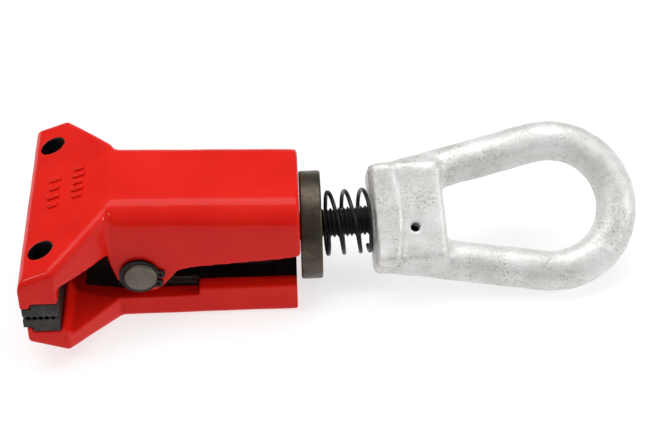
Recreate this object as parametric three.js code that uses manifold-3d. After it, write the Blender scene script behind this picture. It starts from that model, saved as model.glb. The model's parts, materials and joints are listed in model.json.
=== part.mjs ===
// Self-tightening pull clamp: two hinged cast jaws with wide heads, a cone on a
// pull rod that spreads the jaws' tails, a thrust washer, a return spring and a
// forged eye nut. Pulling the eye closes the jaws; pushing it in opens them.
//
// Millimetres, +Z up, +X from the jaws to the eye. Inside the clamp group x = 0 is
// the hinge axis and z = 0 the plane where the bites meet. The group is set down so
// that the origin is the bottom centre of the box round the whole clamp.

import * as THREE from 'three';
import { mergeVertices } from 'three/addons/utils/BufferGeometryUtils.js';
import Module from 'manifold-3d';

const wasm = await Module();
wasm.setup();

const DEG = Math.PI / 180;

// ---- Driving dimensions ----------------------------------------------------

const GAP = 0.3;                    // clearance between pieces that touch

// Hinge
const PIVOT_Z = -1.8;
const PIN_RADIUS = 8.75;
const PIN_HALF_LENGTH = 34;
const PIN_GROOVE_RADIUS = 7.7;
const BUSH_RADIUS = 11;
const EAR_HOLE_RADIUS = PIN_RADIUS + GAP;
const KNUCKLE_RADIUS = 13.5;
const KNUCKLE_HALF_WIDTH = 20.5;
const CHANNEL_HALF_WIDTH = 21;
const LOBE_RADIUS = 12;
const CLIP_INNER_RADIUS = 8;
const CLIP_OUTER_RADIUS = 10.5;
const CLIP_THICKNESS = 1.5;

// Jaws
const HEAD_HALF_WIDTH = 64;
const BODY_HALF_WIDTH = 31;
const UPPER_FRONT_X = -58.8;
const UPPER_REAR_X = 83.5;
const UPPER_NECK_X = -14;
const UPPER_TOP_Z = 40;             // body top at the neck
const UPPER_TOP_FALL = 2.2 * DEG;
const UPPER_CORNER_RADIUS = 14;
const UPPER_HEAD_SLOPE = 20 * DEG;
const UPPER_EDGE_RADIUS = 5.5;
const LOWER_FRONT_X = -56.5;
const LOWER_REAR_X = 81.2;
const LOWER_NECK_X = -11.6;
const LOWER_BOTTOM_Z = -31.2;
const LOWER_HEAD_SLOPE = 18.5 * DEG;
const LOWER_EDGE_RADIUS = 3;
const DECK_Z = -13.3;
const NOTCH_Z = -17.8;
const DECK_FRONT_X = 29.8;

// Bite inserts and their screws
const SEAT_Z = 9.3;
const LIP_Z = 6.3;
const LIP_REAR_X = -53.5;
const SEAT_REAR_X = -39.2;
const INSERT_FRONT_X = -58;
const INSERT_HALF_LENGTH = 63.5;
const TOOTH_DEPTH = 1.3;
const TOOTH_COUNT = 6;
const SCREW_X = -47.7;
const SCREW_Y = 42.8;
const SCREW_HEAD_SEAT_Z = 13.3;
const SCREW_HEAD_HEIGHT = 5;
const SCREW_HEAD_RADIUS = 5.9;
const SCREW_SHANK_RADIUS = 4;
const SCREW_TIP_Z = 3.4;
const SOCKET_FLATS = 5;
const COUNTERBORE_RADIUS = 6.3;

// Pull line: washer, rod, cone, spring and eye
const ROD_Z = 2;
const ROD_YAW = 4 * DEG;            // the rod leans sideways in its oversize washer hole
const ROD_RADIUS = 7.94;
const ROD_START = -57.6;
const ROD_END = 66;
const WASHER_X = 89.6;
const WASHER_THICKNESS = 11.4;
const WASHER_RADIUS = 28.6;
const WASHER_HOLE_RADIUS = 9.75;
const CONE_START = -56.6;
const CONE_END = -42.6;
const CONE_LARGE_RADIUS = 15;
const CONE_SMALL_RADIUS = 9.62;
const ROLL_PIN_RADIUS = 2;
const SPRING_START = 7.2;
const SPRING_END = 31.1;
const SPRING_RADIUS = 16.4;
const SPRING_WIRE_RADIUS = 1;
const SPRING_TURNS = 3.5;
const SPRING_END_TURNS = 0.5;
const BOSS_START = 31.4;
const BOSS_END = 70.3;
const BOSS_HALF_WIDTH = 28.3;
const BOSS_HALF_THICKNESS = 17;
const BOSS_ROUNDING = 5;
const RING_CENTRE = 128.5;
const RING_RADIUS = 35.5;
const RING_STOCK_RADIUS = 10.8;
const ARM_ANGLE = 11 * DEG;
const ARM_LENGTH = 86;
const EYE_TURN = 39 * DEG;          // the eye leans on the surface the clamp lies on
const WITNESS_HOLE_AT = 53.3;
const WITNESS_HOLE_ASIDE = -8.8;
const WITNESS_HOLE_RADIUS = 2.6;

// ---- Solids and geometries -------------------------------------------------

function toSolid(geometry) {
  const bare = geometry.clone();
  bare.deleteAttribute('normal');
  bare.deleteAttribute('uv');
  const merged = mergeVertices(bare, 1e-4);
  const index = merged.index.array;
  const corners = [];
  for (let i = 0; i < index.length; i += 3) {
    const [a, b, c] = index.slice(i, i + 3);
    if (a !== b && b !== c && c !== a) corners.push(a, b, c);
  }
  const vertProperties = new Float32Array(merged.attributes.position.array);
  const triVerts = new Uint32Array(corners);
  return new wasm.Manifold(new wasm.Mesh({ numProp: 3, vertProperties, triVerts }));
}

function toGeometry(solid) {
  const { vertProperties, triVerts } = solid.getMesh();
  const geometry = new THREE.BufferGeometry();
  geometry.setAttribute('position', new THREE.BufferAttribute(vertProperties, 3));
  geometry.setIndex(new THREE.BufferAttribute(triVerts, 1));
  geometry.computeVertexNormals();
  return geometry;
}

function join(...solids) {
  return solids.reduce((whole, piece) => whole.add(piece));
}

function cut(solid, ...tools) {
  return tools.reduce((rest, tool) => rest.subtract(tool), solid);
}

function outline(points) {
  return new THREE.Shape(points.map(([u, v]) => new THREE.Vector2(u, v)));
}

function arcPoints(centre, radius, from, to, steps) {
  const points = [];
  for (let i = 0; i <= steps; i += 1) {
    const angle = from + (to - from) * i / steps;
    points.push([centre[0] + radius * Math.cos(angle), centre[1] + radius * Math.sin(angle)]);
  }
  return points;
}

// An outline in X and Z, thick along Y.
function sidePrism(points, halfWidth) {
  const geometry = new THREE.ExtrudeGeometry(outline(points), {
    depth: 2 * halfWidth,
    bevelEnabled: false,
  });
  geometry.rotateX(Math.PI / 2);
  geometry.translate(0, halfWidth, 0);
  return toSolid(geometry);
}

// An outline in Y and Z, drawn out along X.
function alongX(shape, from, to, settings = { bevelEnabled: false }) {
  const bevel = settings.bevelEnabled ? settings.bevelThickness : 0;
  const geometry = new THREE.ExtrudeGeometry(shape, {
    ...settings,
    depth: to - from - 2 * bevel,
  });
  const basis = new THREE.Matrix4().makeBasis(
    new THREE.Vector3(0, 1, 0),
    new THREE.Vector3(0, 0, 1),
    new THREE.Vector3(1, 0, 0),
  );
  geometry.applyMatrix4(basis);
  geometry.translate(from + bevel, 0, 0);
  return geometry;
}

// A level plate with rounded edges, given by its plan in X and Y.
function roundedPlate(points, bottom, top, radius) {
  const geometry = new THREE.ExtrudeGeometry(outline(points), {
    depth: top - bottom - 2 * radius,
    bevelEnabled: true,
    bevelThickness: radius,
    bevelSize: radius,
    bevelOffset: -radius,
    bevelSegments: 3,
  });
  geometry.translate(0, 0, bottom + radius);
  return geometry;
}

// Tips the level faces by a slope and keeps upright walls upright.
function slope(geometry, angle, levelX) {
  const position = geometry.attributes.position;
  for (let i = 0; i < position.count; i += 1) {
    const rise = Math.tan(angle) * (position.getX(i) - levelX);
    position.setZ(i, position.getZ(i) + rise);
  }
  return geometry;
}

function rodAlongX(radius, from, to, sides = 40) {
  const geometry = new THREE.CylinderGeometry(radius, radius, to - from, sides);
  geometry.rotateZ(-Math.PI / 2);
  geometry.translate((from + to) / 2, 0, 0);
  return geometry;
}

function barAlongY(radius, from, to, x, z, sides = 40) {
  const geometry = new THREE.CylinderGeometry(radius, radius, to - from, sides);
  geometry.translate(x, (from + to) / 2, z);
  return toSolid(geometry);
}

function postAlongZ(radius, from, to, x, y, sides = 32) {
  const geometry = new THREE.CylinderGeometry(radius, radius, to - from, sides);
  geometry.rotateX(Math.PI / 2);
  geometry.translate(x, y, (from + to) / 2);
  return toSolid(geometry);
}

// A profile of [along, radius] points turned about X.
function turnedAboutX(profile, steps) {
  const points = profile.map(([along, radius]) => new THREE.Vector2(radius, along));
  points.push(points[0].clone());
  const geometry = new THREE.LatheGeometry(points, steps);
  geometry.rotateZ(-Math.PI / 2);
  return geometry;
}

function plan(frontX, shoulderX, neckX, tailX) {
  return [
    [frontX, -HEAD_HALF_WIDTH],
    [shoulderX, -HEAD_HALF_WIDTH],
    [neckX, -BODY_HALF_WIDTH],
    [tailX, -BODY_HALF_WIDTH],
    [tailX, BODY_HALF_WIDTH],
    [neckX, BODY_HALF_WIDTH],
    [shoulderX, HEAD_HALF_WIDTH],
    [frontX, HEAD_HALF_WIDTH],
  ];
}

function screwPlaces() {
  return [-1, 1].map((side) => [SCREW_X, side * SCREW_Y]);
}

// ---- Upper jaw ---------------------------------------------------------------

function upperHead() {
  const shoulderX = -40;
  const topAtScrews = 27.8;
  const blank = roundedPlate(
    plan(UPPER_FRONT_X, shoulderX, UPPER_NECK_X, 0),
    -30,
    topAtScrews,
    UPPER_EDGE_RADIUS,
  );
  const plate = toSolid(slope(blank, UPPER_HEAD_SLOPE, SCREW_X));
  const pocket = sidePrism([
    [-80, -60],
    [SEAT_REAR_X, -60],
    [SEAT_REAR_X, SEAT_Z],
    [LIP_REAR_X, SEAT_Z],
    [LIP_REAR_X, LIP_Z],
    [-80, LIP_Z],
  ], 90);
  const throatRoof = 12.5;
  const throatRoofAtEnds = 18;
  const rise = (throatRoofAtEnds - throatRoof) / (HEAD_HALF_WIDTH - BODY_HALF_WIDTH);
  const overhang = 90;
  const overhangRoof = throatRoof + rise * (overhang - BODY_HALF_WIDTH);
  const throat = toSolid(alongX(outline([
    [-overhang, -60],
    [overhang, -60],
    [overhang, overhangRoof],
    [BODY_HALF_WIDTH, throatRoof],
    [-BODY_HALF_WIDTH, throatRoof],
    [-overhang, overhangRoof],
  ]), SEAT_REAR_X - 0.01, 20));
  const behindNeck = sidePrism([
    [UPPER_NECK_X, -60],
    [60, -60],
    [60, 90],
    [UPPER_NECK_X, 90],
  ], 90);
  return cut(plate, pocket, throat, behindNeck);
}

function upperBody() {
  const cornerX = BODY_HALF_WIDTH - UPPER_CORNER_RADIUS;
  const cornerZ = UPPER_TOP_Z - UPPER_CORNER_RADIUS;
  const section = outline([
    [-BODY_HALF_WIDTH, -60],
    [BODY_HALF_WIDTH, -60],
    ...arcPoints([cornerX, cornerZ], UPPER_CORNER_RADIUS, 0, 90 * DEG, 8),
    ...arcPoints([-cornerX, cornerZ], UPPER_CORNER_RADIUS, 90 * DEG, 180 * DEG, 8),
  ]);
  const blank = alongX(section, -17, UPPER_REAR_X);
  const block = toSolid(slope(blank, -UPPER_TOP_FALL, UPPER_NECK_X));
  const sideView = sidePrism([
    [-17, 14.7],
    [-15, 4.2],
    [-12.3, -5.3],
    ...arcPoints([0, PIVOT_Z], LOBE_RADIUS, 200 * DEG, 270 * DEG, 8),
    [7, -13.3],
    [11.3, -10.7],
    [19.6, -0.1],
    [27, 1.5],
    [90, 6.5],
    [90, 60],
    [-14.6, 39.6],
    [-17, 38.8],
  ], 90);
  return block.intersect(sideView);
}

// The open space between the ears and cheeks, with the ridge that the cone lifts.
function upperChannel() {
  return sidePrism([
    [-18, -60],
    [100, -60],
    [100, 24],
    [41, 22.5],
    [38, 15.43],
    [31, 18.1],
    [29, 21.5],
    [14, 21.5],
    [14, 12.5],
    [-18, 12.5],
  ], CHANNEL_HALF_WIDTH);
}

function upperJaw() {
  const holes = screwPlaces().flatMap(([x, y]) => [
    postAlongZ(SCREW_SHANK_RADIUS + GAP, 0, 60, x, y),
    postAlongZ(COUNTERBORE_RADIUS, SCREW_HEAD_SEAT_Z, 60, x, y),
  ]);
  return cut(
    join(upperHead(), upperBody()),
    upperChannel(),
    barAlongY(EAR_HOLE_RADIUS, -50, 50, 0, PIVOT_Z),
    ...holes,
  );
}

// ---- Lower jaw ---------------------------------------------------------------

function lowerHead() {
  const shoulderX = -36;
  const levelX = -36.6;
  const bottomAtLevel = -23.6;
  const blank = roundedPlate(
    plan(LOWER_FRONT_X, shoulderX, LOWER_NECK_X, 0),
    bottomAtLevel,
    60,
    LOWER_EDGE_RADIUS,
  );
  const plate = toSolid(slope(blank, -LOWER_HEAD_SLOPE, levelX));
  const topView = sidePrism([
    [-80, -60],
    [LOWER_NECK_X, -60],
    [LOWER_NECK_X, -17.5],
    [-34, -13.9],
    [-37.2, -7.6],
    [SEAT_REAR_X, -7.6],
    [SEAT_REAR_X, -SEAT_Z],
    [LIP_REAR_X, -SEAT_Z],
    [LIP_REAR_X, -LIP_Z],
    [-80, -LIP_Z],
  ], 90);
  return plate.intersect(topView);
}

function lowerBody() {
  const edge = LOWER_EDGE_RADIUS;
  const cornerY = BODY_HALF_WIDTH - edge;
  const cornerZ = LOWER_BOTTOM_Z + edge;
  const section = (top) => outline([
    [BODY_HALF_WIDTH, top],
    [-BODY_HALF_WIDTH, top],
    ...arcPoints([-cornerY, cornerZ], edge, 180 * DEG, 270 * DEG, 3),
    ...arcPoints([cornerY, cornerZ], edge, 270 * DEG, 360 * DEG, 3),
  ]);
  const floor = toSolid(alongX(section(NOTCH_Z), -16, LOWER_REAR_X));
  const deck = toSolid(alongX(section(DECK_Z), DECK_FRONT_X, LOWER_REAR_X));
  return join(floor, deck);
}

// The hinge knuckle and the ledge behind it, between the upper jaw's ears.
function knuckle() {
  return sidePrism([
    [-KNUCKLE_RADIUS, -25],
    [35, -25],
    [35, DECK_Z],
    [17, DECK_Z],
    ...arcPoints([0, PIVOT_Z], KNUCKLE_RADIUS, -20 * DEG, 180 * DEG, 20),
  ], KNUCKLE_HALF_WIDTH);
}

// The ramp that carries the underside of the cone.
function wedgePad() {
  return sidePrism([
    [33, -18],
    [72, -18],
    [70, DECK_Z],
    [66, -7.97],
    [47, -7.97],
    [33, DECK_Z - 0.05],
  ], 12);
}

function lowerJaw() {
  const holes = screwPlaces().flatMap(([x, y]) => [
    postAlongZ(SCREW_SHANK_RADIUS + GAP, -60, 0, x, y),
    postAlongZ(COUNTERBORE_RADIUS, -60, -SCREW_HEAD_SEAT_Z, x, y),
  ]);
  const trimFloor = sidePrism([
    [-80, -60],
    [0, -60],
    [0, LOWER_BOTTOM_Z],
    [-80, LOWER_BOTTOM_Z],
  ], 90);
  return cut(
    join(lowerHead(), lowerBody(), knuckle(), wedgePad()),
    trimFloor,
    barAlongY(BUSH_RADIUS + GAP, -50, 50, 0, PIVOT_Z),
    ...holes,
  );
}

// ---- Bite inserts and screws ---------------------------------------------------

// The upper insert; the lower one is its mirror image.
function biteInsert() {
  const rearX = SEAT_REAR_X - GAP;
  const topZ = SEAT_Z - GAP;
  const stepX = LIP_REAR_X + GAP;
  const biteZ = 0.15;
  const pitch = (rearX - INSERT_FRONT_X) / TOOTH_COUNT;
  const teeth = [];
  for (let i = 0; i < TOOTH_COUNT; i += 1) {
    const x = INSERT_FRONT_X + i * pitch;
    teeth.push([x, biteZ + TOOTH_DEPTH], [x + pitch / 2, biteZ]);
  }
  teeth.push([rearX, biteZ + TOOTH_DEPTH]);
  const bar = sidePrism([
    ...teeth,
    [rearX, topZ],
    [stepX, topZ],
    [stepX, LIP_Z - GAP],
    [INSERT_FRONT_X, LIP_Z - GAP],
  ], INSERT_HALF_LENGTH);
  const holes = screwPlaces().map(([x, y]) => (
    postAlongZ(SCREW_SHANK_RADIUS + GAP, SCREW_TIP_Z - GAP, 20, x, y)
  ));
  return cut(bar, ...holes);
}

// A low-head socket screw standing on its tip, with z = 0 under its head.
function socketScrew() {
  const headTop = SCREW_HEAD_HEIGHT;
  const chamfer = 0.6;
  const profile = [
    [0, SCREW_TIP_Z - SCREW_HEAD_SEAT_Z],
    [SCREW_SHANK_RADIUS, SCREW_TIP_Z - SCREW_HEAD_SEAT_Z],
    [SCREW_SHANK_RADIUS, GAP],
    [SCREW_HEAD_RADIUS, GAP],
    [SCREW_HEAD_RADIUS, headTop - chamfer],
    [SCREW_HEAD_RADIUS - chamfer, headTop],
    [0, headTop],
  ];
  const points = profile.map(([radius, z]) => new THREE.Vector2(radius, z));
  const blank = new THREE.LatheGeometry(points, 24);
  blank.rotateX(Math.PI / 2);
  const acrossCorners = SOCKET_FLATS / Math.cos(30 * DEG);
  const socket = postAlongZ(acrossCorners / 2, headTop - 2.6, headTop + 2, 0, 0, 6);
  return cut(toSolid(blank), socket);
}

// ---- Hinge pieces ----------------------------------------------------------------

function pivotPin() {
  const chamfer = 0.8;
  const grooveIn = BODY_HALF_WIDTH;
  const grooveOut = BODY_HALF_WIDTH + CLIP_THICKNESS + 2 * GAP;
  const half = [
    [grooveIn, PIN_RADIUS],
    [grooveIn, PIN_GROOVE_RADIUS],
    [grooveOut, PIN_GROOVE_RADIUS],
    [grooveOut, PIN_RADIUS],
    [PIN_HALF_LENGTH - chamfer, PIN_RADIUS],
    [PIN_HALF_LENGTH, PIN_RADIUS - chamfer],
    [PIN_HALF_LENGTH, 0],
  ];
  const otherHalf = half.map(([y, radius]) => [-y, radius]).reverse();
  const points = [...otherHalf, ...half].map(([y, radius]) => new THREE.Vector2(radius, y));
  return toSolid(new THREE.LatheGeometry(points, 40));
}

function pivotBush() {
  const halfLength = KNUCKLE_HALF_WIDTH - GAP;
  const outside = barAlongY(BUSH_RADIUS, -halfLength, halfLength, 0, 0);
  return cut(outside, barAlongY(PIN_RADIUS + GAP, -50, 50, 0, 0));
}

// A snap ring in the X-Z plane with its gap and two lugs toward +X.
function circlip() {
  const gapAngle = 12 * DEG;
  const lugRadius = 2.5;
  const lugCentre = 10.4;
  const lugAngle = 17 * DEG;
  const eccentric = 0.35;
  const ring = sidePrism([
    ...arcPoints([-eccentric, 0], CLIP_OUTER_RADIUS, gapAngle, 360 * DEG - gapAngle, 32),
    ...arcPoints([0, 0], CLIP_INNER_RADIUS, 360 * DEG - gapAngle, gapAngle, 32),
  ], CLIP_THICKNESS / 2);
  const half = CLIP_THICKNESS / 2;
  const lugs = [-lugAngle, lugAngle].map((angle) => [
    lugCentre * Math.cos(angle),
    lugCentre * Math.sin(angle),
  ]);
  const ears = lugs.map(([x, z]) => barAlongY(lugRadius, -half, half, x, z, 16));
  const eyes = lugs.map(([x, z]) => barAlongY(0.9, -5, 5, x, z, 10));
  const slot = sidePrism([[5, -0.9], [20, -0.9], [20, 0.9], [5, 0.9]], 5);
  const bore = barAlongY(CLIP_INNER_RADIUS, -5, 5, 0, 0);
  return cut(join(ring, ...ears), ...eyes, slot, bore);
}

// ---- Pull line ---------------------------------------------------------------------

function thrustWasher() {
  const half = WASHER_THICKNESS / 2;
  const edge = 1.2;
  return turnedAboutX([
    [-half, WASHER_HOLE_RADIUS],
    [-half, WASHER_RADIUS - edge],
    [-half + edge, WASHER_RADIUS],
    [half - edge, WASHER_RADIUS],
    [half, WASHER_RADIUS - edge],
    [half, WASHER_HOLE_RADIUS],
  ], 64);
}

function rollPinHole(radius) {
  return barAlongY(radius, -30, 30, (CONE_START + CONE_END) / 2, 0, 16);
}

function pullRod() {
  const chamfer = 1.2;
  const tip = new THREE.CylinderGeometry(ROD_RADIUS - chamfer, ROD_RADIUS, chamfer, 40);
  tip.rotateZ(Math.PI / 2);
  tip.translate(ROD_START + chamfer / 2, 0, 0);
  const shaft = toSolid(rodAlongX(ROD_RADIUS, ROD_START + chamfer, ROD_END));
  return cut(join(shaft, toSolid(tip)), rollPinHole(ROLL_PIN_RADIUS + GAP));
}

function spreaderCone() {
  const bore = ROD_RADIUS + GAP;
  const cone = toSolid(turnedAboutX([
    [CONE_START, bore],
    [CONE_START, CONE_LARGE_RADIUS - 0.6],
    [CONE_START + 0.6, CONE_LARGE_RADIUS - 0.25],
    [CONE_END, CONE_SMALL_RADIUS],
    [CONE_END, bore],
  ], 48));
  return cut(cone, rollPinHole(ROLL_PIN_RADIUS + GAP));
}

function rollPin() {
  const halfLength = 11;
  const outside = barAlongY(ROLL_PIN_RADIUS, -halfLength, halfLength, 0, 0, 16);
  return cut(outside, barAlongY(1.2, -20, 20, 0, 0, 12));
}

class CoilCurve extends THREE.Curve {
  getPoint(t, target = new THREE.Vector3()) {
    const turn = t * SPRING_TURNS;
    const closedPitch = 2 * SPRING_WIRE_RADIUS + GAP;
    const closedRun = closedPitch * SPRING_END_TURNS;
    const length = SPRING_END - SPRING_START - 2 * SPRING_WIRE_RADIUS;
    const openTurns = SPRING_TURNS - 2 * SPRING_END_TURNS;
    const openPitch = (length - 2 * closedRun) / openTurns;
    const fromEnd = SPRING_TURNS - turn;
    let along = closedRun + openPitch * (turn - SPRING_END_TURNS);
    if (turn < SPRING_END_TURNS) along = closedPitch * turn;
    if (fromEnd < SPRING_END_TURNS) along = length - closedPitch * fromEnd;
    const angle = 2 * Math.PI * turn;
    return target.set(
      SPRING_START + SPRING_WIRE_RADIUS + along,
      -SPRING_RADIUS * Math.cos(angle),
      -SPRING_RADIUS * Math.sin(angle),
    );
  }
}

function returnSpring() {
  const section = outline(arcPoints([0, 0], SPRING_WIRE_RADIUS, 0, 360 * DEG, 6).slice(0, 6));
  return new THREE.ExtrudeGeometry(section, {
    steps: 24 * SPRING_TURNS,
    extrudePath: new CoilCurve(),
    bevelEnabled: false,
  });
}

// The centre line of the eye: two converging arms joined by a round bow.
class PearCurve extends THREE.Curve {
  getPoint(t, target = new THREE.Vector3()) {
    const halfBowAngle = 90 * DEG + ARM_ANGLE;
    const halfBow = RING_RADIUS * halfBowAngle;
    const signedRun = (2 * t - 1) * (halfBow + ARM_LENGTH);
    const side = Math.sign(signedRun);
    const bowAngle = Math.min(Math.abs(signedRun), halfBow) / RING_RADIUS;
    const armRun = Math.max(Math.abs(signedRun) - halfBow, 0);
    return target.set(
      RING_CENTRE + RING_RADIUS * Math.cos(bowAngle) - armRun * Math.cos(ARM_ANGLE),
      side * (RING_RADIUS * Math.sin(bowAngle) - armRun * Math.sin(ARM_ANGLE)),
      0,
    );
  }
}

function eyeNut() {
  const width = BOSS_HALF_WIDTH - BOSS_ROUNDING;
  const thickness = BOSS_HALF_THICKNESS - BOSS_ROUNDING;
  const section = outline([
    ...arcPoints([width, thickness], BOSS_ROUNDING, 0, 90 * DEG, 4),
    ...arcPoints([-width, thickness], BOSS_ROUNDING, 90 * DEG, 180 * DEG, 4),
    ...arcPoints([-width, -thickness], BOSS_ROUNDING, 180 * DEG, 270 * DEG, 4),
    ...arcPoints([width, -thickness], BOSS_ROUNDING, 270 * DEG, 360 * DEG, 4),
  ]);
  const boss = toSolid(alongX(section, BOSS_START, BOSS_END, {
    bevelEnabled: true,
    bevelThickness: 3,
    bevelSize: 3,
    bevelOffset: -3,
    bevelSegments: 2,
  }));
  const stock = outline(arcPoints([0, 0], RING_STOCK_RADIUS, 0, 360 * DEG, 18).slice(0, 18));
  const bow = toSolid(new THREE.ExtrudeGeometry(stock, {
    steps: 40,
    extrudePath: new PearCurve(),
    bevelEnabled: false,
  }));
  return cut(
    join(boss, bow),
    toSolid(rodAlongX(ROD_RADIUS + GAP, 0, BOSS_END + 5)),
    postAlongZ(WITNESS_HOLE_RADIUS, -4, 40, WITNESS_HOLE_AT, WITNESS_HOLE_ASIDE, 16),
  );
}

// ---- Assembly ------------------------------------------------------------------------

const redPaint = { color: '#c8190f', roughness: 0.3, metalness: 0 };
const blackSteel = { color: '#2c2725', roughness: 0.5, metalness: 0.7 };
const brownedSteel = { color: '#3d3531', roughness: 0.4, metalness: 0.7 };
const bronze = { color: '#8c6130', roughness: 0.4, metalness: 0.9 };
const galvanised = { color: '#c9cbc8', roughness: 0.55, metalness: 0.8 };

function piece(name, shape, finish, place = {}) {
  const geometry = toGeometry(shape instanceof THREE.BufferGeometry ? toSolid(shape) : shape);
  const mesh = new THREE.Mesh(geometry, new THREE.MeshStandardMaterial(finish));
  mesh.name = name;
  mesh.position.set(...(place.at ?? [0, 0, 0]));
  mesh.rotation.set(...(place.turned ?? [0, 0, 0]));
  return mesh;
}

function screwPair(jawName, side) {
  const turned = [side > 0 ? 0 : Math.PI, 0, 0];
  return ['left', 'right'].map((hand, i) => {
    const y = i === 0 ? SCREW_Y : -SCREW_Y;
    const at = [SCREW_X, y, side * SCREW_HEAD_SEAT_Z];
    return piece(`${jawName}_insert_screw_${hand}`, socketScrew(), blackSteel, { at, turned });
  });
}

const upperGroup = new THREE.Group();
upperGroup.add(
  piece('upper_jaw', upperJaw(), redPaint),
  piece('upper_insert', biteInsert(), blackSteel),
  ...screwPair('upper', 1),
);

const lowerGroup = new THREE.Group();
lowerGroup.add(
  piece('lower_jaw', lowerJaw(), redPaint),
  piece('lower_insert', biteInsert(), blackSteel, { turned: [Math.PI, 0, 0] }),
  ...screwPair('lower', -1),
);

const clipY = BODY_HALF_WIDTH + GAP + CLIP_THICKNESS / 2;
const clipTurn = 12 * DEG;
const hinge = new THREE.Group();
hinge.position.z = PIVOT_Z;
hinge.add(
  piece('pivot_pin', pivotPin(), brownedSteel),
  piece('pivot_bush', pivotBush(), bronze),
  piece('circlip_left', circlip(), brownedSteel, { at: [0, clipY, 0], turned: [0, clipTurn, 0] }),
  piece('circlip_right', circlip(), brownedSteel, { at: [0, -clipY, 0], turned: [0, clipTurn, 0] }),
);

const pullLine = new THREE.Group();
pullLine.rotation.z = ROD_YAW;
pullLine.add(
  piece('pull_rod', pullRod(), blackSteel),
  piece('spreader_cone', spreaderCone(), blackSteel),
  piece('cone_roll_pin', rollPin(), blackSteel, { at: [(CONE_START + CONE_END) / 2, 0, 0] }),
  piece('return_spring', returnSpring(), blackSteel),
  piece('eye_nut', eyeNut(), galvanised, { turned: [EYE_TURN, 0, 0] }),
);

const washerGroup = new THREE.Group();
washerGroup.position.set(WASHER_X, 0, ROD_Z);
washerGroup.add(piece('thrust_washer', thrustWasher(), brownedSteel), pullLine);

const clamp = new THREE.Group();
clamp.add(upperGroup, lowerGroup, hinge, washerGroup);

// The eye's far end fixes how long the clamp is.
const farEnd = RING_CENTRE + RING_RADIUS;
const farX = WASHER_X + farEnd * Math.cos(ROD_YAW) + RING_STOCK_RADIUS;
clamp.position.set(-(UPPER_FRONT_X + farX) / 2, 0, -LOWER_BOTTOM_Z);

export default clamp;
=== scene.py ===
"""Looks of a self-tightening pull clamp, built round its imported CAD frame.

Lengths are metres in the frame's own axes: +X from the jaws to the eye, +Z up.
Cast and forged pieces are remeshed copies of their CAD nodes, and machined ones are
bevelled copies. The washer, the threaded rod and the spring are made here from formulas,
and the frame says where they go.
"""

import json
import math

import bmesh
import bpy
from mathutils import Matrix, Vector, noise


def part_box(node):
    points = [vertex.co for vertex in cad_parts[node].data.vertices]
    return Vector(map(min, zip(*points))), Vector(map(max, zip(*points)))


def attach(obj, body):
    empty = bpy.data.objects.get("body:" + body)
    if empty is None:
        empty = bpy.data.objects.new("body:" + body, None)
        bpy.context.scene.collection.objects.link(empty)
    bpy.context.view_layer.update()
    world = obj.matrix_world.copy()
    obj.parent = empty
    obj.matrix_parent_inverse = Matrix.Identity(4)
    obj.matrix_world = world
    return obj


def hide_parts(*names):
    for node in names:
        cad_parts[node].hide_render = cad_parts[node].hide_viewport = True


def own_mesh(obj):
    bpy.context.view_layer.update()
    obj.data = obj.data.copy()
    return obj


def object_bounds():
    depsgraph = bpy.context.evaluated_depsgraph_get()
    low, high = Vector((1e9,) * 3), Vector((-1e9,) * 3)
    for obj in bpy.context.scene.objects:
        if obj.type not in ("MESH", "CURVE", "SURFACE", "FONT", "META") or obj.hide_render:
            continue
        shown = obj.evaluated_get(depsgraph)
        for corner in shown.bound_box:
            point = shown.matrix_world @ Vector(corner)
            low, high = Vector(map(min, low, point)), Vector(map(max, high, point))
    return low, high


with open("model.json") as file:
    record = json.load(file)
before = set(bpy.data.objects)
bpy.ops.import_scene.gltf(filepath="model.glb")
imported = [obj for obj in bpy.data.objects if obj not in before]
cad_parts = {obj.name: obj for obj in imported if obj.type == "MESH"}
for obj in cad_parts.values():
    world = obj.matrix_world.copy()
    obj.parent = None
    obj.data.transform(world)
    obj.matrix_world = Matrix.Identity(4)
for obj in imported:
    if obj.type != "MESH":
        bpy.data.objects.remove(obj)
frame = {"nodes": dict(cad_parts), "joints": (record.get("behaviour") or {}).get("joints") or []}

MM = 0.001
SHARP_EDGE = math.radians(35)
CAD_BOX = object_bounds()
UPPER, LOWER = "upper_jaw_body", "lower_jaw_body"
WASHER, SWING, ROD, EYE = "washer_body", "swing_body", "rod_body", "eye_body"
JOINTS = {joint["name"]: joint for joint in frame["joints"]}


# ---- Places and measures -------------------------------------------------------------

def centre_of(node):
    low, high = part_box(node)
    return (low + high) / 2


def clamped(value):
    """The value, kept between 0 and 1."""
    return max(0.0, min(1.0, value))


def rod_frame():
    """A matrix whose X runs along the pull rod, with its origin at the washer's centre."""
    along = Vector(JOINTS["rod_slide"]["axis"]).normalized()
    up = Vector((0, 0, 1))
    across = up.cross(along)
    turn = Matrix((along, across, up)).transposed().to_4x4()
    return Matrix.Translation(centre_of("thrust_washer")) @ turn


ROD_FRAME = rod_frame()
PIVOT = Vector(JOINTS["jaw_open"]["pos_m"])
FLOOR_Z = CAD_BOX[0].z


# ---- Meshes --------------------------------------------------------------------------

def add_object(name, data):
    obj = bpy.data.objects.new(name, data)
    bpy.context.scene.collection.objects.link(obj)
    return obj


def merged_copy(node, name):
    """A new object with the CAD node's mesh, its doubled vertices merged."""
    edit = bmesh.new()
    edit.from_mesh(frame["nodes"][node].data)
    bmesh.ops.remove_doubles(edit, verts=edit.verts, dist=0.002 * MM)
    bmesh.ops.recalc_face_normals(edit, faces=edit.faces)
    mesh = bpy.data.meshes.new(name)
    edit.to_mesh(mesh)
    edit.free()
    return add_object(name, mesh)


def apply_modifiers(obj):
    graph = bpy.context.evaluated_depsgraph_get()
    mesh = bpy.data.meshes.new_from_object(obj.evaluated_get(graph))
    obj.modifiers.clear()
    obj.data = mesh


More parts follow.
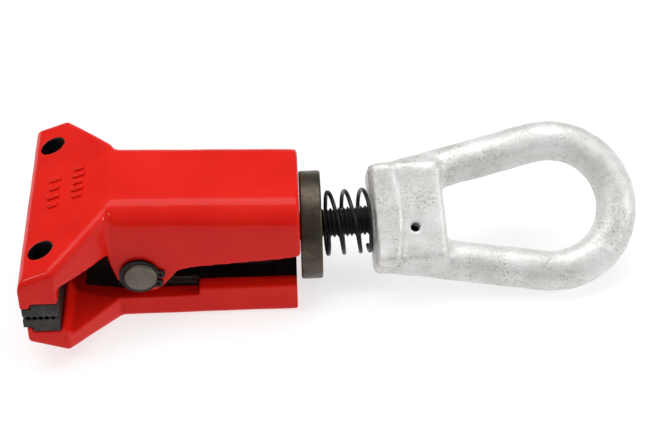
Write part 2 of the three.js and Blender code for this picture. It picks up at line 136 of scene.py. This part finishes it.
def shade(obj):
    """Shades a mesh smooth except across its sharp edges."""
    obj.data.shade_smooth()
    obj.data.set_sharp_from_angle(angle=SHARP_EDGE)


def volume_of(obj):
    edit = bmesh.new()
    edit.from_mesh(obj.data)
    volume = edit.calc_volume()
    edit.free()
    return volume


def move_vertices(obj, shift):
    """Moves each vertex by shift(place, normal)."""
    normals = [vertex.normal.copy() for vertex in obj.data.vertices]
    places = []
    for vertex, normal in zip(obj.data.vertices, normals):
        places.extend(vertex.co + shift(vertex.co, normal))
    obj.data.vertices.foreach_set("co", places)
    obj.data.update()


def smooth(obj, rounds, group=""):
    """Smooths a mesh, by the weights of a vertex group where one is named."""
    modifier = obj.modifiers.new("smooth", "SMOOTH")
    modifier.factor = 0.5
    modifier.iterations = rounds
    modifier.vertex_group = group
    apply_modifiers(obj)
    obj.data.shade_smooth()


def soften(obj, weight_at, rounds):
    """Smooths a mesh more where weight_at(place) is nearer to 1."""
    group = obj.vertex_groups.new(name="soft")
    for vertex in obj.data.vertices:
        weight = weight_at(vertex.co)
        if weight > 0:
            group.add([vertex.index], weight, "REPLACE")
    smooth(obj, rounds, "soft")
    obj.vertex_groups.clear()


def refill(obj, volume):
    """Pushes a smoothed surface back out to the volume it had."""
    area = sum(face.area for face in obj.data.polygons)
    growth = (volume - volume_of(obj)) / area
    move_vertices(obj, lambda place, normal: normal * growth)


def keep_in_box(obj, node):
    """Brings vertices that left the node's CAD box back to its sides."""
    low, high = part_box(node)

    def inward(place, normal):
        nearest = Vector(min(max(place[i], low[i]), high[i]) for i in range(3))
        return nearest - place

    move_vertices(obj, inward)


def cast_copy(node, name, voxel, rounds):
    """The node's shape with soft edges, as a casting or forging has them."""
    obj = merged_copy(node, name)
    remesh = obj.modifiers.new("remesh", "REMESH")
    remesh.mode = "VOXEL"
    remesh.voxel_size = voxel
    apply_modifiers(obj)
    smooth(obj, rounds)
    return obj


def bevelled_copy(node, name, width, segments=2):
    """The node's shape with small machined edges."""
    obj = merged_copy(node, name)
    bevel = obj.modifiers.new("bevel", "BEVEL")
    bevel.width = width
    bevel.segments = segments
    bevel.limit_method = "ANGLE"
    bevel.angle_limit = math.radians(30)
    apply_modifiers(obj)
    shade(obj)
    return obj


def waver(obj, height, wavelength, seed):
    """Sinks a surface slowly and unevenly along its normals, by up to the given height."""
    offset = Vector((seed * 3.1, seed * 1.7, seed * 2.3))

    def sink(place, normal):
        share = clamped(0.5 - noise.noise(place / wavelength + offset))
        return -normal * (height * share)

    move_vertices(obj, sink)


def grid_tube(name, rings, closed_ends=True):
    """A tube skinned over rings of points, each ring with the same count."""
    count = len(rings[0])
    points = [point for ring in rings for point in ring]
    faces = []
    for i in range(len(rings) - 1):
        for j in range(count):
            k = (j + 1) % count
            near, far = i * count, (i + 1) * count
            faces.append((near + j, near + k, far + k, far + j))
    if closed_ends:
        faces.append(tuple(reversed(range(count))))
        faces.append(tuple(range(len(points) - count, len(points))))
    mesh = bpy.data.meshes.new(name)
    mesh.from_pydata(points, [], faces)
    edit = bmesh.new()
    edit.from_mesh(mesh)
    bmesh.ops.recalc_face_normals(edit, faces=edit.faces)
    edit.to_mesh(mesh)
    edit.free()
    return add_object(name, mesh)


def tube_along(name, path, radius, sides):
    """A round wire along a list of points."""
    rings = []
    side = Vector((0, 0, 1))
    for i, point in enumerate(path):
        before = path[max(i - 1, 0)]
        after = path[min(i + 1, len(path) - 1)]
        ahead = (after - before).normalized()
        side = (side - ahead * side.dot(ahead)).normalized()
        other = ahead.cross(side)
        ring = []
        for j in range(sides):
            angle = 2 * math.pi * j / sides
            ring.append(point + radius * (math.cos(angle) * side + math.sin(angle) * other))
        rings.append(ring)
    return grid_tube(name, rings)


def ring_about(place, along, reach_at, sides):
    """Points round the place's X axis, reach_at(share of a turn) away from it."""
    ring = []
    for j in range(sides):
        share = j / sides
        angle = 2 * math.pi * share
        reach = reach_at(share)
        ring.append(place @ Vector((along, reach * math.cos(angle), reach * math.sin(angle))))
    return ring


def turned(name, profile, place, sides):
    """A closed profile of (along, radius) points turned about the place's X axis."""
    rings = []
    for along, radius in profile + profile[:1]:
        rings.append(ring_about(place, along, lambda share: radius, sides))
    obj = grid_tube(name, rings, closed_ends=False)
    edit = bmesh.new()
    edit.from_mesh(obj.data)
    bmesh.ops.remove_doubles(edit, verts=edit.verts, dist=0.001 * MM)
    bmesh.ops.dissolve_degenerate(edit, edges=edit.edges, dist=0.0005 * MM)
    bmesh.ops.recalc_face_normals(edit, faces=edit.faces)
    edit.to_mesh(obj.data)
    edit.free()
    shade(obj)
    return obj


# ---- Materials -----------------------------------------------------------------------

class Shader:
    """A principled material and short ways to add the nodes that drive it.

    Values are its inputs' names, with underscores for spaces.
    """

    # The mix node's colour sockets, which share their names with those for numbers.
    MIX_COLOURS = (6, 7)
    MIX_RESULT = 2

    def __init__(self, name, **values):
        self.material = bpy.data.materials.new(name)
        self.material.use_nodes = True
        self.tree = self.material.node_tree
        self.surface = self.tree.nodes["Principled BSDF"]
        for socket, value in values.items():
            self.surface.inputs[socket.replace("_", " ")].default_value = value
        self.place = self.tree.nodes.new("ShaderNodeTexCoord").outputs["Object"]
        self.bump = None

    def link(self, source, target):
        self.tree.links.new(source, target)

    def noise(self, size, detail=3, roughness=0.55):
        node = self.tree.nodes.new("ShaderNodeTexNoise")
        node.inputs["Scale"].default_value = 1 / size
        node.inputs["Detail"].default_value = detail
        node.inputs["Roughness"].default_value = roughness
        self.link(self.place, node.inputs["Vector"])
        return node.outputs["Fac"]

    def edges(self):
        return self.tree.nodes.new("ShaderNodeNewGeometry").outputs["Pointiness"]

    def spread(self, source, low, high, to_low=0.0, to_high=1.0):
        node = self.tree.nodes.new("ShaderNodeMapRange")
        node.inputs["From Min"].default_value = low
        node.inputs["From Max"].default_value = high
        node.inputs["To Min"].default_value = to_low
        node.inputs["To Max"].default_value = to_high
        self.link(source, node.inputs["Value"])
        return node.outputs["Result"]

    def clouds(self, size, to_low=0.0, to_high=1.0, detail=3):
        """Noise whose usual values, 0.3 to 0.7, are spread over the range asked for."""
        return self.spread(self.noise(size, detail), 0.3, 0.7, to_low, to_high)

    def product(self, first, second):
        node = self.tree.nodes.new("ShaderNodeMath")
        node.operation = "MULTIPLY"
        self.link(first, node.inputs[0])
        self.link(second, node.inputs[1])
        return node.outputs["Value"]

    def mix(self, factor, first, second):
        """One colour where the factor is 0 and the other where it is 1."""
        node = self.tree.nodes.new("ShaderNodeMix")
        node.data_type = "RGBA"
        self.link(factor, node.inputs["Factor"])
        for value, index in zip((first, second), self.MIX_COLOURS):
            if isinstance(value, tuple):
                node.inputs[index].default_value = (*value, 1)
            else:
                self.link(value, node.inputs[index])
        return node.outputs[self.MIX_RESULT]

    def colour(self, output):
        self.link(output, self.surface.inputs["Base Color"])

    def roughness(self, output):
        self.link(output, self.surface.inputs["Roughness"])

    def add_bump(self, height, distance, strength=1.0):
        node = self.tree.nodes.new("ShaderNodeBump")
        node.inputs["Distance"].default_value = distance
        node.inputs["Strength"].default_value = strength
        self.link(height, node.inputs["Height"])
        if self.bump is not None:
            self.link(self.bump, node.inputs["Normal"])
        self.bump = node.outputs["Normal"]
        self.link(self.bump, self.surface.inputs["Normal"])


def red_enamel():
    """Gloss paint over a casting, with painted shade in its corners and a paler red on its convex
    edges.
    """
    deep, bright = (0.64, 0.008, 0.004), (0.70, 0.013, 0.006)
    shadowed, paler_red = (0.32, 0.004, 0.003), (0.84, 0.035, 0.022)
    shader = Shader(
        "red_enamel",
        Metallic=0.0,
        Coat_Weight=0.22,
        Coat_Roughness=0.05,
        Specular_IOR_Level=0.06,
    )
    even = shader.mix(shader.clouds(26 * MM, detail=2), deep, bright)
    # Painted shade: concave corners are mixed toward the shadowed red.
    out_of_corners = shader.spread(shader.edges(), 0.44, 0.5)
    colour = shader.mix(out_of_corners, shadowed, even)
    # Convex edges are mixed toward a paler red.
    on_edges = shader.spread(shader.edges(), 0.57, 0.7)
    shader.colour(shader.mix(on_edges, colour, paler_red))
    shader.roughness(shader.clouds(6 * MM, 0.3, 0.42))
    shader.add_bump(shader.noise(12 * MM, detail=2), 0.35 * MM, 0.3)
    shader.add_bump(shader.noise(1.8 * MM, detail=2), 0.03 * MM, 0.35)
    return shader.material


def dark_steel(name, dark, light, smoothest, grain):
    """Blackened steel, with a fine grain and a slow change of tone."""
    shader = Shader(name, Metallic=0.75, Specular_IOR_Level=0.5)
    tone = shader.mix(shader.clouds(9 * MM), dark, light)
    specks = shader.spread(shader.noise(0.9 * MM, detail=5), 0.56, 0.7)
    lightest = tuple(1.25 * value for value in light)
    shader.colour(shader.mix(specks, tone, lightest))
    shader.roughness(shader.clouds(3 * MM, smoothest, smoothest + 0.16))
    shader.add_bump(shader.noise(grain, detail=4), 0.06 * MM, 0.5)
    return shader.material


def galvanised_zinc():
    """Rough hot-dip zinc: silver-white, with beige-grey flecks in patches."""
    dull, silver, beige = (0.66, 0.66, 0.64), (0.82, 0.825, 0.82), (0.40, 0.375, 0.31)
    shader = Shader("galvanised_zinc", Metallic=0.3, Specular_IOR_Level=0.5)
    tone = shader.mix(shader.spread(shader.noise(14 * MM, detail=4), 0.35, 0.65), dull, silver)
    flecks = shader.spread(shader.noise(1.3 * MM, detail=6, roughness=0.8), 0.49, 0.62)
    patches = shader.spread(shader.noise(18 * MM), 0.40, 0.60, 0.12, 1.0)
    shader.colour(shader.mix(shader.product(flecks, patches), tone, beige))
    shader.roughness(shader.clouds(2 * MM, 0.3, 0.55, detail=4))
    shader.add_bump(shader.noise(5 * MM), 0.5 * MM, 0.3)
    shader.add_bump(shader.noise(1.2 * MM, detail=5, roughness=0.75), 0.3 * MM, 0.7)
    return shader.material


def bronze():
    shader = Shader("bronze", Metallic=1.0)
    shader.colour(shader.mix(shader.noise(2 * MM), (0.36, 0.22, 0.09), (0.50, 0.33, 0.15)))
    shader.roughness(shader.clouds(1 * MM, 0.3, 0.45))
    return shader.material


PAINT = red_enamel()
# This black steel also stands as painted shade in the jaws' counterbores, channel and throat.
BLACK = dark_steel("black_oxide_steel_and_painted_shade", (0.018, 0.017, 0.016), (0.05, 0.046, 0.042), 0.38, 0.6 * MM)
BROWN = dark_steel("browned_steel", (0.042, 0.034, 0.024), (0.085, 0.070, 0.050), 0.32, 1.2 * MM)
PIN = dark_steel("oiled_steel", (0.10, 0.088, 0.07), (0.17, 0.15, 0.125), 0.34, 0.9 * MM)
WIRE = dark_steel("oiled_spring_wire", (0.008, 0.008, 0.008), (0.022, 0.021, 0.02), 0.25, 0.5 * MM)
ZINC = galvanised_zinc()
BRONZE = bronze()


def dress(obj, material):
    obj.data.materials.clear()
    obj.data.materials.append(material)


def dress_node(node, material):
    for place in frame["nodes"][node].material_slots:
        place.material = material


# ---- Camera, floor and light ---------------------------------------------------------

def add_camera():
    """A long lens that looks down at 40 degrees, rolled 2 degrees and panned a little."""
    elevation = math.radians(40)
    roll = math.radians(2)
    pan = math.radians(0.81)
    aim = Vector((PIVOT.x + 82.7 * MM, 2.8 * MM, PIVOT.z + 7.25 * MM))
    distance = 1.0134
    ahead = Vector((0, math.cos(elevation), -math.sin(elevation)))
    level = Vector((1, 0, 0))
    upright = level.cross(ahead)
    right = math.cos(roll) * level - math.sin(roll) * upright
    up = math.sin(roll) * level + math.cos(roll) * upright
    look = math.cos(pan) * ahead + math.sin(pan) * right
    side = look.cross(up).normalized()
    data = bpy.data.cameras.new("camera")
    data.sensor_width = 36
    data.lens = 105.9
    camera = add_object("camera", data)
    turn = Matrix((side, side.cross(look), -look)).transposed().to_4x4()
    camera.matrix_world = Matrix.Translation(aim - ahead * distance) @ turn
    bpy.context.scene.camera = camera


def add_floor():
    """A pale table that glows a little and reaches well past the clamp on every side."""
    reach = 15.0
    level = FLOOR_Z - 0.2 * MM
    corners = [(-reach, -reach), (reach, -reach), (reach, reach), (-reach, reach)]
    mesh = bpy.data.meshes.new("floor")
    mesh.from_pydata([(x, y, level) for x, y in corners], [], [(0, 1, 2, 3)])
    floor = add_object("floor", mesh)
    shader = Shader(
        "pale_floor",
        Roughness=0.9,
        Emission_Color=(1, 1, 1, 1),
        Emission_Strength=0.7,
    )
    shader.colour(shader.mix(shader.noise(0.3), (0.32, 0.32, 0.32), (0.34, 0.34, 0.34)))
    mesh.materials.append(shader.material)


def add_light(name, place, target, size, watts):
    data = bpy.data.lights.new(name, "AREA")
    data.shape = "RECTANGLE"
    data.size, data.size_y = size
    data.energy = watts
    light = add_object(name, data)
    light.location = place
    toward = Vector(target) - Vector(place)
    light.rotation_mode = "QUATERNION"
    light.rotation_quaternion = toward.to_track_quat("-Z", "Y")


def add_world():
    """A dim room, brighter overhead."""
    world = bpy.data.worlds.new("room")
    world.use_nodes = True
    tree = world.node_tree
    place = tree.nodes.new("ShaderNodeTexCoord").outputs["Generated"]
    split = tree.nodes.new("ShaderNodeSeparateXYZ")
    ramp = tree.nodes.new("ShaderNodeValToRGB")
    tree.links.new(place, split.inputs["Vector"])
    tree.links.new(split.outputs["Z"], ramp.inputs["Fac"])
    for element, height, grey in zip(ramp.color_ramp.elements, (0.0, 0.9), (0.05, 0.5)):
        element.position = height
        element.color = (grey, grey, grey, 1)
    tree.links.new(ramp.outputs["Color"], tree.nodes["Background"].inputs["Color"])
    tree.nodes["Background"].inputs["Strength"].default_value = 1.0
    bpy.context.scene.world = world


def light_the_scene():
    add_world()
    centre = (0, 0, 0.03)
    add_light("top_softbox", (-0.1, 0.45, 1.6), centre, size=(2.2, 1.1), watts=24)
    add_light("left_lamp", (-1.0, -0.35, 0.95), centre, size=(0.25, 0.25), watts=2.5)
    add_light("right_strip", (1.3, -0.3, 0.65), centre, size=(0.12, 0.6), watts=6)
    bpy.context.scene.view_settings.view_transform = "Standard"


# ---- Jaws ----------------------------------------------------------------------------
# Places on the jaws are measured from the hinge axis.

def neck_weight(place):
    """Near 1 where the head's slope meets the barrel, and part of that at the tail's rim."""
    neck_x, neck_reach = -14 * MM, 9 * MM
    lowest_z, rise = 12 * MM, 5 * MM
    rim_x, rim_run, rim_weight = 78 * MM, 5 * MM, 0.45
    local = place - PIVOT
    from_neck = abs(local.x - neck_x) / neck_reach
    above = (local.z - lowest_z) / rise
    neck = clamped(min(1.4 * (1 - from_neck), above))
    rim = min(rim_weight, clamped((local.x - rim_x) / rim_run))
    return max(neck, rim)


def casting_marks():
    """Two short rows of plain raised bars on the upper head's slope."""
    slope = math.radians(20)
    screw_x, top_at_screws = -47.7 * MM, 29.6 * MM
    lengths, width, height, proud = (5.6 * MM, 7 * MM), 3.2 * MM, 2.2 * MM, 0.1 * MM
    row_width = 28 * MM
    rows = ((-43.6 * MM, 0.5 * MM, 4), (-30.8 * MM, 3 * MM, 5))
    tip = Matrix.Rotation(-slope, 4, "Y")
    edit = bmesh.new()
    for x, middle, count in rows:
        z = top_at_screws + (x - screw_x) * math.tan(slope) + proud
        for i in range(count):
            y = middle + (i - (count - 1) / 2) * row_width / count
            size = Matrix.Diagonal((lengths[i % 2], width, height, 1))
            place = Matrix.Translation(PIVOT + Vector((x, y, z)))
            bmesh.ops.create_cube(edit, size=1, matrix=place @ tip @ size)
    mesh = bpy.data.meshes.new("casting_marks")
    edit.to_mesh(mesh)
    edit.free()
    marks = add_object("casting_marks", mesh)
    bevel = marks.modifiers.new("bevel", "BEVEL")
    bevel.width = 0.7 * MM
    bevel.segments = 3
    apply_modifiers(marks)
    marks.data.shade_smooth()
    dress(marks, PAINT)
    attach(marks, UPPER)


def in_channel(local, normal, side):
    """True for the hidden faces of the throat and of the channel that the cone runs in, which are
    given painted shade.
    """
    if side == "upper":
        throat_front, channel_front = -38 * MM, -9 * MM
        cheek_y, roof_z = 20.9 * MM, 24 * MM
        in_throat = throat_front < local.x < channel_front and normal.z < -0.7
        inside = in_throat or local.x > channel_front
        return inside and abs(local.y) < cheek_y and local.z < roof_z
    front, wall_y, floor_z = -30 * MM, 22.5 * MM, -17 * MM
    not_underside = normal.z > -0.5
    return not_underside and local.x > front and abs(local.y) < wall_y and local.z > floor_z


def shade_hollows_black(jaw, side):
    """Gives the machined counterbores and the inside of the channel and throat the black steel, as
    painted shade in these hollows.
    """
    floor_radius, wall_radius = 5.9 * MM, 6.9 * MM
    # Painted shade: faces in the counterbores, channel and throat take the black steel material.
    jaw.data.materials.append(BLACK)
    shade_slot = len(jaw.data.materials) - 1
    axes = [centre_of(f"{side}_insert_screw_{hand}") for hand in ("left", "right")]
    for face in jaw.data.polygons:
        middle = face.center
        for axis in axes:
            out = (middle - axis).xy
            wall = face.normal.xy.dot(out) < 0 and abs(face.normal.z) < 0.75
            if out.length < floor_radius or (wall and out.length < wall_radius):
                face.material_index = shade_slot
        if in_channel(middle - PIVOT, face.normal, side):
            face.material_index = shade_slot


def jaws():
    for side, body, seed in (("upper", UPPER, 1), ("lower", LOWER, 2)):
        node = f"{side}_jaw"
        jaw = cast_copy(node, f"{node}_casting", voxel=0.7 * MM, rounds=7)
        if side == "upper":
            soften(jaw, neck_weight, rounds=60)
        waver(jaw, height=0.18 * MM, wavelength=16 * MM, seed=seed)
        keep_in_box(jaw, node)
        dress(jaw, PAINT)
        shade_hollows_black(jaw, side)
        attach(jaw, body)
        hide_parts(node)
    casting_marks()


def inserts_and_screws():
    for side, body in (("upper", UPPER), ("lower", LOWER)):
        insert = bevelled_copy(f"{side}_insert", f"{side}_bite_bar", width=0.25 * MM)
        dress(insert, BLACK)
        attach(insert, body)
        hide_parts(f"{side}_insert")
        for hand in ("left", "right"):
            node = f"{side}_insert_screw_{hand}"
            screw = bevelled_copy(node, f"{node}_machined", width=0.2 * MM)
            dress(screw, BLACK)
            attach(screw, body)
            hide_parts(node)


# ---- Hinge ---------------------------------------------------------------------------

def hinge():
    pin = bevelled_copy("pivot_pin", "pivot_pin_turned", width=0.3 * MM, segments=3)
    dress(pin, PIN)
    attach(pin, UPPER)
    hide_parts("pivot_pin")
    for hand in ("left", "right"):
        clip = bevelled_copy(f"circlip_{hand}", f"circlip_{hand}_stamped", width=0.2 * MM)
        dress(clip, WIRE)
        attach(clip, UPPER)
        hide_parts(f"circlip_{hand}")
    dress_node("pivot_bush", BRONZE)


# ---- Pull line -----------------------------------------------------------------------

def washer():
    """The washer with rounded outer edges, 0.3 mm nearer the tails than in the CAD."""
    hole, edge = 9.75 * MM, 1.2 * MM
    edge_steps, sides = 4, 128
    toward_tails = Vector((-0.3 * MM, 0, 0))
    low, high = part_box("thrust_washer")
    half = (high.x - low.x) / 2
    radius = (high.z - low.z) / 2
    profile = [(-half, hole)]
    for along, first in ((edge - half, math.pi), (half - edge, math.pi / 2)):
        for i in range(edge_steps + 1):
            angle = first - math.pi / 2 * i / edge_steps
            out = radius - edge + edge * math.sin(angle)
            profile.append((along + edge * math.cos(angle), out))
    profile.append((half, hole))
    place = Matrix.Translation(centre_of("thrust_washer") + toward_tails)
    piece = turned("thrust_washer_turned", profile, place, sides)
    dress(piece, BROWN)
    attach(piece, WASHER)
    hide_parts("thrust_washer")


def cone():
    finishes = {"spreader_cone": (BLACK, "black_oxide"), "cone_roll_pin": (WIRE, "spring_steel")}
    for node, (material, slot) in finishes.items():
        piece = bevelled_copy(node, f"{node}_turned", width=0.2 * MM)
        dress(piece, material)
        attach(piece, ROD)
        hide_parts(node)


def threaded_rod():
    """The rod with a rolled 60 degree thread along its whole length."""
    start, end, radius = -57.6 * MM, 66 * MM, 7.94 * MM
    inch, threads_per_inch = 25.4 * MM, 11
    pitch = inch / threads_per_inch
    depth, lead_in = 0.61 * pitch, 1.5 * pitch
    crest, root = 0.12, 0.9
    sides, rings_per_pitch = 40, 10

    def reach(along, turn):
        """The radius of a crest, a flank or a root, less near the rod's ends."""
        phase = (along / pitch - turn) % 1.0
        groove = max(0.0, abs(2 * phase - 1) - crest) / (1 - crest)
        thread = clamped(min(along - start, end - along) / lead_in)
        return radius - depth * min(groove, root) - (1 - thread) * depth * (1 - groove)

    count = round((end - start) / pitch * rings_per_pitch)
    rings = []
    for i in range(count + 1):
        along = start + (end - start) * i / count
        rings.append(ring_about(ROD_FRAME, along, lambda turn: reach(along, turn), sides))
    piece = grid_tube("pull_rod_threaded", rings)
    piece.data.shade_smooth()
    dress(piece, BLACK)
    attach(piece, ROD)
    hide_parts("pull_rod")


def spring():
    """An open coil that leans a little on the rod, its end turns against washer and eye."""
    start, end = 6.6 * MM, 31.1 * MM
    radius, wire, sides = 16.4 * MM, 1.1 * MM, 14
    pitch, end_pitch, first_top = 8.85 * MM, 0.6 * MM, 10.9 * MM
    lean, settling = 0.95 * MM, 2.6 * MM
    first_turn, last_turn, steps = -0.7, 2.6, 260
    tilt = math.radians(40)
    top = Vector((0, math.sin(tilt), math.cos(tilt)))
    front = Vector((0, -math.cos(tilt), math.sin(tilt)))
    near, far = start + wire, end - wire
    path = []
    for i in range(steps + 1):
        turn = first_turn + (last_turn - first_turn) * i / steps
        angle = 2 * math.pi * turn
        end_turn = near + end_pitch * (turn - first_turn)
        along = min(max(end_turn, first_top + pitch * turn), far)
        free = clamped((along - near) / settling) * clamped((far - along) / settling)
        local = radius * (math.cos(angle) * top + math.sin(angle) * front)
        local.x = along - lean * free * math.cos(angle)
        path.append(ROD_FRAME @ local)
    piece = tube_along("return_spring_coil", path, wire, sides)
    shade(piece)
    dress(piece, WIRE)
    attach(piece, SWING)
    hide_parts("return_spring")
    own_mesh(piece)


# ---- Eye nut -------------------------------------------------------------------------
# Its own X runs along the rod from the washer's centre, and its Y across the ring.

EYE_LEAN = math.radians(39)
TO_EYE = (ROD_FRAME @ Matrix.Rotation(EYE_LEAN, 4, "X")).inverted()
ARMS_START = 62 * MM


def crotch_weight(place):
    """Near 1 where the eye's arms leave its boss, and 0 at its two holes."""
    first, last, first_run, last_run = 50 * MM, 96 * MM, 10 * MM, 14 * MM
    hole_x, hole_y, hole_rim, hole_run = 53.3 * MM, -8.8 * MM, 3 * MM, 5 * MM
    bore_end, bore_rim, bore_run = 72 * MM, 9 * MM, 4 * MM
    everywhere = 0.22
    local = TO_EYE @ place
    crotch = clamped((local.x - first) / first_run) * clamped((last - local.x) / last_run)
    weight = max(everywhere, crotch)
    if local.z > 0:
        from_hole = math.hypot(local.x - hole_x, local.y - hole_y)
        weight *= clamped((from_hole - hole_rim) / hole_run)
    if local.x < bore_end:
        from_axis = math.hypot(local.y, local.z)
        weight *= clamped((from_axis - bore_rim) / bore_run)
    return weight


def collar_shift(place, normal):
    """A shallow round groove between the boss's collar, which tapers, and its flat pads."""
    half_width, pad_z = 28 * MM, 9 * MM
    line_x, bow = 47.5 * MM, 4 * MM
    groove, groove_width, taper = 1.2 * MM, 1.5 * MM, 0.09
    local = TO_EYE @ place
    if local.x > ARMS_START or abs(local.z) < pad_z:
        return Vector((0, 0, 0))
    line = line_x - bow * (local.y / half_width) ** 2
    depth = groove * math.exp(-((local.x - line) / groove_width) ** 2)
    depth += taper * max(0.0, line - local.x)
    return -normal * depth


def flash_shift(place, normal):
    """The thin trimmed flash line of the forging, round the ring's outer and inner edges."""
    height, width = 0.3 * MM, 0.7 * MM
    local = TO_EYE @ place
    if local.x < ARMS_START:
        return Vector((0, 0, 0))
    return normal * (height * math.exp(-(local.z / width) ** 2))


def eye():
    piece = cast_copy("eye_nut", "eye_nut_forging", voxel=0.8 * MM, rounds=6)
    volume = volume_of(piece)
    soften(piece, crotch_weight, rounds=110)
    refill(piece, volume)
    move_vertices(piece, collar_shift)
    waver(piece, height=0.3 * MM, wavelength=8 * MM, seed=3)
    move_vertices(piece, flash_shift)
    keep_in_box(piece, "eye_nut")
    dress(piece, ZINC)
    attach(piece, EYE)
    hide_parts("eye_nut")


add_camera()
add_floor()
light_the_scene()
jaws()
inserts_and_screws()
hinge()
washer()
threaded_rod()
spring()
eye()
cone()
